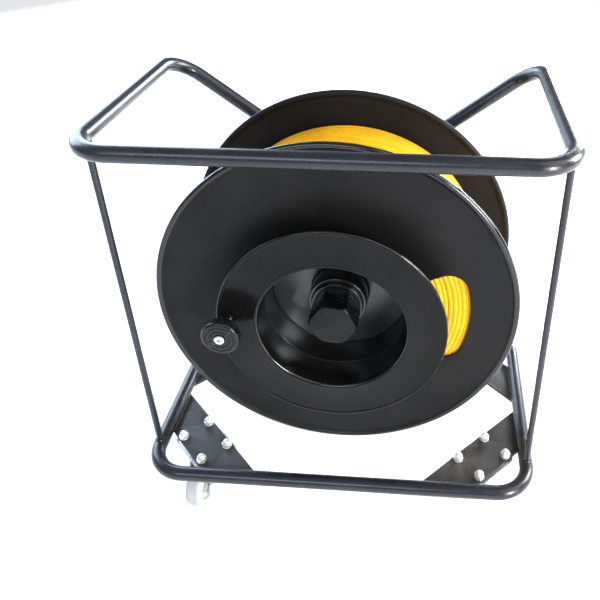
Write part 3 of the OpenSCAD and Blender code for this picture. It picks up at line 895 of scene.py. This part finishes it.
def flange_profile(r_in, bead_centre, bead_r, crease, flat_to=None):
    """A sheet from r_in outwards that ends in a rolled bead, with a crease where it rolls in.

    Its shading is quite flat out to flat_to, and blends into the crease from there.
    """
    half = SHEET_T / 2
    spread_angle = math.degrees(math.asin((half + crease) / (bead_r + crease)))
    crease_r = bead_centre - (bead_r + crease) * math.cos(math.radians(spread_angle))
    lower = arc(crease_r, -(half + crease), crease, 90, spread_angle, 4)
    bead = arc(bead_centre, 0, bead_r, spread_angle - 180, 180 - spread_angle, 28)
    upper = arc(crease_r, half + crease, crease, -spread_angle, -90, 4)
    lip = 0.4 * MM
    inner = [(r_in, half - lip), (r_in, lip - half), (r_in + lip, -half)]
    if flat_to:
        lower.insert(0, (flat_to, -half))
        upper.append((flat_to, half))
    return inner + lower + bead + upper + [(r_in + lip, half)]


def window_outline():
    """The curved window: two arcs about the axis, joined by round corners."""
    r1, r2, c = WINDOW_R1, WINDOW_R2, WINDOW_CORNER
    inner_half = WINDOW_HALF - math.degrees(math.asin(c / (r1 + c)))
    outer_half = WINDOW_HALF - math.degrees(math.asin(c / (r2 - c)))

    def corner(r, half, start):
        x, y = r * math.cos(math.radians(half)), r * math.sin(math.radians(half))
        return arc(x, y, c, half + start, half + start + 90, 10)

    points = arc(0, 0, r2, -outer_half, outer_half, 24)
    points += corner(r2 - c, outer_half, 0) + corner(r1 + c, inner_half, 90)
    points += arc(0, 0, r1, inner_half, -inner_half, 18)
    points += corner(r1 + c, -inner_half, 180) + corner(r2 - c, -outer_half, 270)
    turn = math.radians(-WINDOW_TURN)
    unturned = np.array(points)
    unturned = unturned[np.linalg.norm(unturned - np.roll(unturned, 1, 0), axis=1) > 1e-5]
    spin = np.array(((math.cos(turn), -math.sin(turn)), (math.sin(turn), math.cos(turn))))
    return unturned @ spin.T


def cut(made, solids):
    """Cuts solids out of an object for good."""
    cutter = new_object("cutter", solids)
    cutting = made.modifiers.new("cutting", "BOOLEAN")
    cutting.operation = "DIFFERENCE"
    cutting.solver = "EXACT"
    cutting.object = cutter
    graph = bpy.context.evaluated_depsgraph_get()
    mesh = bpy.data.meshes.new_from_object(made.evaluated_get(graph))
    made.modifiers.clear()
    made.data = mesh
    bpy.data.objects.remove(cutter)


def recoat(made, material, wanted):
    """Gives the faces whose middle passes a test a second material."""
    made.data.materials.append(material)
    for face in made.data.polygons:
        if wanted(face.center):
            face.material_index = 1


def from_axle(point):
    """A point's distance from the drum's axis."""
    return math.hypot(point.x, point.z - AXLE_Z)


def build_flanges():
    """The two large flanges and the side flange, each with its rolled edge."""
    crease = 5 * MM
    rear = lathe(flange_profile(HUB_R, FLANGE_R - BEAD_R, BEAD_R, crease), 256)
    piece("rear_flange_sheet", [placed(rear, ON_AXIS @ Matrix.Translation((0, 0, DRUM_W)))],
          drum_paint, "rear_flange")

    profile = flange_profile(CORE_R, FLANGE_R - BEAD_R, BEAD_R, crease, WINDOW_R2 + 3 * MM)
    front = new_object("front_flange_sheet", [lathe(profile, 256)])
    window = [[(x, y, z) for x, y in window_outline()] for z in (-5 * MM, 5 * MM)]
    cut(front, [grid(window, capped=True)])
    soften(front, 0.35 * MM, angle=60)
    front.data.transform(ON_AXIS)
    front.data.materials.append(drum_paint)
    recoat(front, rubbed_paint, lambda middle: from_axle(middle) > FLANGE_R - 6 * MM)
    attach(front, "drum")
    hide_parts("front_flange")

    roll = 3 * MM
    rolled_lip = arc(CORE_R + roll, roll - SIDE_BEAD_R, roll, 180, 285, 11)
    rolled_lip.append((CORE_R + 2 * roll, -SHEET_T / 2))
    # The rolled lip takes the place of the profile's own inner edge.
    sheet_and_bead = flange_profile(CORE_R, SIDE_R - SIDE_BEAD_R, SIDE_BEAD_R, 1.2 * MM)[3:-1]
    solid = lathe(rolled_lip + sheet_and_bead, 192)
    side = piece("side_flange_sheet", [placed(solid, ON_AXIS @ Matrix.Translation((0, 0, -SIDE_DEPTH)))],
                 gloss_paint, "side_flange")
    lip, edge = CORE_R + 1.2 * MM, SIDE_R - 0.8 * MM
    recoat(side, rubbed_paint, lambda middle: not lip < from_axle(middle) < edge)


def build_cores():
    """The two sheet rings round the open recess, and the disc that closes it."""
    half = SHEET_T / 2
    outer = CORE_R + SHEET_T
    parts = (
        ("drum_core_sheet", "drum_core", ring(outer, CORE_R, half, DRUM_W - half, 0.45 * MM, 192)),
        ("side_core_sheet", "side_core", ring(outer, CORE_R, half - SIDE_DEPTH, -half, 0.45 * MM, 192)),
        ("hub_disc_sheet", "hub_disc",
         ring(CORE_R, HUB_R, HUB_DISC_DEPTH - half, HUB_DISC_DEPTH + half, 0.2 * MM, 192)),
    )
    for name, node, solid in parts:
        # The hub disc gets the satin black whose lighter tone is a painted floor reflection.
        paint = disc_paint_and_reflection if node == "hub_disc" else gloss_paint
        made = piece(name, [placed(solid, ON_AXIS)], paint, node)
        if node != "hub_disc":
            recoat(made, rubbed_paint, lambda middle: from_axle(middle) < CORE_R + 1 * MM)


def build_drum_welds():
    """Fine seams where the sheets of the drum are joined."""
    fillets = []
    seam_r = 1.1 * MM
    for r, z in (
        (CORE_R + SHEET_T, -SHEET_T / 2),
        (CORE_R + SHEET_T, SHEET_T / 2 - SIDE_DEPTH),
        (CORE_R - 0.2 * MM, HUB_DISC_DEPTH - SHEET_T / 2),
        (COLLAR_R, HUB_DISC_DEPTH - SHEET_T / 2),
        (HUB_R, DRUM_W + SHEET_T / 2),
    ):
        circle = [(x, y, z) for x, y in arc(0, 0, r, 0, 358, 179)]
        fillets.append(placed(sweep(circle, seam_r, closed=True, sides=12), ON_AXIS))
    extra("drum_seams", fillets, drum_paint, "drum_core")


def build_hub():
    """The hub tube, its collar and the hexagonal cap."""
    bore, cap_back = 18 * MM, 4 * MM
    low, high = (v.y - FLANGE_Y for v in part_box("hub_tube"))
    piece("hub_tube_turned", [placed(ring(HUB_R, bore, low, high, 0.8 * MM), ON_AXIS)],
          rubbed_paint, "hub_tube")
    low, high = (v.y - FLANGE_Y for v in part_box("hub_collar"))
    piece("hub_collar_turned", [placed(ring(COLLAR_R, HUB_R, low, high, 1.0 * MM), ON_AXIS)],
          rubbed_paint, "hub_collar")
    cap_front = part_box("hub_cap")[0].y - FLANGE_Y
    cap = hexagon(CAP_FLATS, cap_front, cap_back, 2.5 * MM, slope=1.0, ends=(True, False))
    piece("hub_cap_moulding", [placed(cap, ON_AXIS @ turned(CAP_TURN))], black_plastic, "hub_cap",
          edge=0.9 * MM)


def build_knob():
    """The crank knob: a grooved head on a neck."""
    head_back = KNOB_FRONT + 11.6 * MM
    knob_r, neck_r, bore = span("crank_knob")[1].x, 7.5 * MM, 4.05 * MM
    groove, corner, dish = 0.8 * MM, 3 * MM, 0.6 * MM
    face = [(bore, KNOB_FRONT + dish), (5.8 * MM, KNOB_FRONT + dish), (6.1 * MM, KNOB_FRONT)]
    for r in (9.5 * MM, 14 * MM):
        face += arc(r, KNOB_FRONT, groove, 180, 0, 6)
    edge = arc(knob_r - corner, KNOB_FRONT + corner, corner, -90, 0, 8)
    waist = [(knob_r - 0.3 * MM, (KNOB_FRONT + head_back) / 2)]
    back = arc(knob_r - corner, head_back - corner, corner, 0, 90, 8)
    neck = [(neck_r + 1 * MM, head_back), (neck_r, head_back + 1 * MM)]
    neck += [(neck_r, KNOB_BACK), (bore, KNOB_BACK)]
    piece("crank_knob_moulding", [placed(lathe(face + edge + waist + back + neck, 96), on_knob())],
          knob_plastic, "crank_knob")


def build_knob_stud():
    """The knob's stud, with a dimpled head in front and a painted foot, and its nut behind."""
    under_head, end = -66 * MM, 7 * MM - SIDE_DEPTH
    head_face = under_head - 1.6 * MM
    head_r, stud_r, foot_r = 5.2 * MM, 4 * MM, 5 * MM
    corner = 1.2 * MM
    dimple = [(0, under_head + 0.4 * MM), (1.5 * MM, under_head + 0.4 * MM), (1.9 * MM, head_face)]
    head = [(3.6 * MM, head_face)]
    head += arc(head_r - corner, under_head - 0.4 * MM, corner, -80, 0, 5)
    head.append((head_r, under_head))
    flange_face = -SIDE_DEPTH - SHEET_T / 2
    foot_front = flange_face - 1.6 * MM
    foot = [(stud_r, under_head), (stud_r, foot_front), (foot_r - 0.6 * MM, foot_front)]
    foot += [(foot_r, flange_face - 1 * MM), (foot_r, flange_face), (stud_r, flange_face)]
    tip = [(stud_r, end - 0.8 * MM), (stud_r - 0.8 * MM, end), (0, end)]
    stud = piece("knob_shoulder_stud", [placed(lathe(dimple + head + foot + tip, 64), on_knob())],
                 ground_steel, "knob_stud")
    painted_from = FLANGE_Y + KNOB_BACK - 1 * MM
    recoat(stud, gloss_paint, lambda middle: middle.y > painted_from)
    seat = SHEET_T / 2 - SIDE_DEPTH
    nut = hexagon(13 * MM, seat, seat + 5 * MM, 1 * MM, bore=stud_r)
    piece("knob_lock_nut", [placed(nut, on_knob())], bright_zinc, "knob_stud_nut")


def build_winding():
    """The wound tape: an outer layer of turns, the edge turns seen through the window, and a core."""
    strand_r = 2.5 * MM
    low, high = (v.y - FLANGE_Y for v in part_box("tape_winding"))
    first, last = low + strand_r + 0.1 * MM, high - strand_r - 0.1 * MM
    turns = spread(last - first, 2 * strand_r + 0.08 * MM)
    per_turn = 96
    count = turns * per_turn + 1
    angle = 2 * math.pi * np.arange(count) / per_turn
    knots = np.arange(0, turns + 1.01, 0.25)
    slip = np.interp(angle / (2 * math.pi), knots, random.uniform(-0.45, 0.45, len(knots)) * MM)
    sink = np.interp(angle / (2 * math.pi), knots, random.uniform(0, 0.7, len(knots)) * MM)
    depth = np.clip(first + (last - first) * angle / angle[-1] + slip, first, last)
    radius = WINDING_R - strand_r - 0.05 * MM - sink
    path = np.stack([radius * np.cos(angle), radius * np.sin(angle), depth], 1)
    solids = [sweep(path, strand_r, sides=12)]

    layer_gap = 4.75 * MM
    edge_r = 3.9 * MM
    inner = CORE_R + SHEET_T + edge_r + 0.2 * MM
    layers = spread(WINDING_R - 2 * strand_r - inner, layer_gap)
    around = 2 * math.pi * np.arange(144) / 144
    for end in (first, last):
        for layer in range(layers):
            phase = random.uniform(0, 2 * math.pi, 2)
            r = inner + layer * layer_gap + 0.35 * MM * np.sin(around + phase[0])
            back = (1.3 + 0.7 * (layer % 3 == 1) + 0.5 * np.sin(around + phase[1])) * MM
            z = end + back if end == first else end - back
            loop = np.stack([r * np.cos(around), r * np.sin(around), z], 1)
            solids.append(sweep(loop, edge_r, closed=True, sides=16))
    core_r = WINDING_R - 2 * strand_r - 0.5 * MM
    solids.append(ring(core_r, inner - strand_r, first + 0.6 * MM, last - 0.6 * MM, 0.3 * MM))
    piece("wound_tape", [placed(s, ON_AXIS) for s in solids], yellow_sheath, "tape_winding", smooth=60)


# ---------------------------------------------------------------- nodes shown as they are

def finish_bearings():
    """The two sealed bearings keep their CAD shape and get a ground steel finish."""
    for node in ("front_bearing", "rear_bearing"):
        shown = frame["nodes"][node]
        shown.data.materials.clear()
        shown.data.materials.append(ground_steel)


# ---------------------------------------------------------------- floor, light and camera

def build_floor():
    """A wide pale floor."""
    half = 9.0
    points = [(-half, -half, 0), (half, -half, 0), (half, half, 0), (-half, half, 0)]
    mesh = bpy.data.meshes.new("studio_floor")
    mesh.from_pydata(points, [], [(0, 1, 2, 3)])
    floor = bpy.data.objects.new("studio_floor", mesh)
    bpy.context.scene.collection.objects.link(floor)
    made = Surface("studio_floor", Roughness=0.9, Specular_IOR_Level=0.1)
    cloud = made.levels(made.noise(0.6, 2), 0.3, 0.7)
    made.colour(made.mix(cloud, (0.86, 0.86, 0.86), (0.88, 0.88, 0.88)))
    floor.data.materials.append(made.material)


def area_light(name, place, target, size, power, colour=(1, 1, 1)):
    """A soft box that faces a target."""
    light = bpy.data.lights.new(name, "AREA")
    light.shape = "RECTANGLE"
    light.size, light.size_y = size
    light.energy = power
    light.color = colour
    holder = bpy.data.objects.new(name, light)
    holder.location = place
    holder.rotation_euler = (Vector(target) - Vector(place)).to_track_quat("-Z", "Y").to_euler()
    bpy.context.scene.collection.objects.link(holder)


def build_lights():
    """A pale room: broad daylight from the right, windows in front and behind, and a soft box."""
    world = bpy.data.worlds.new("studio")
    bpy.context.scene.world = world
    world.use_nodes = True
    background = world.node_tree.nodes["Background"]
    background.inputs["Color"].default_value = (0.95, 0.97, 1.0, 1)
    background.inputs["Strength"].default_value = 0.40
    middle = (0, 0, 0.27)
    sun = bpy.data.lights.new("broad_daylight", "SUN")
    sun.energy = 1.3
    sun.angle = math.radians(50)
    holder = bpy.data.objects.new("broad_daylight", sun)
    holder.rotation_euler = Vector((1.0, -0.35, 1.3)).to_track_quat("Z", "Y").to_euler()
    bpy.context.scene.collection.objects.link(holder)
    area_light("window_right", (1.45, -1.5, 0.66), middle, (0.34, 0.80), 62, (0.93, 0.96, 1.0))
    area_light("window_front_high", (-0.6, -2.2, 1.7), middle, (1.6, 0.7), 26, (0.72, 0.83, 1.0))
    area_light("window_behind_left", (-1.8, 1.5, 1.2), middle, (2.6, 1.6), 110, (0.62, 0.78, 1.0))
    area_light("window_behind_right", (1.15, 2.0, 0.85), middle, (1.1, 0.7), 75, (0.80, 0.90, 1.0))
    area_light("soft_box_right", (2.0, 0.5, 1.1), middle, (1.0, 1.2), 80, (1.0, 0.98, 0.95))
    bpy.context.scene.view_settings.view_transform = "Standard"


def build_camera():
    """The photograph's view: from the front, a little right of the middle and from above."""
    camera = bpy.data.objects.new("camera", bpy.data.cameras.new("camera"))
    camera.location = (0.0943, -0.6175, 0.7117)
    camera.rotation_euler = [math.radians(a) for a in (59.871, -0.070, 4.046)]
    camera.data.lens = 39.85
    camera.data.shift_x = -0.15
    camera.data.shift_y = -0.15
    camera.data.clip_start = 0.01
    bpy.context.scene.collection.objects.link(camera)
    bpy.context.scene.camera = camera


build_camera()
build_floor()
build_lights()
build_tubes()
build_frame_welds()
build_back_support()
build_corner_plates()
build_casters()
build_flanges()
build_cores()
build_drum_welds()
build_hub()
build_knob()
build_knob_stud()
build_winding()
finish_bearings()
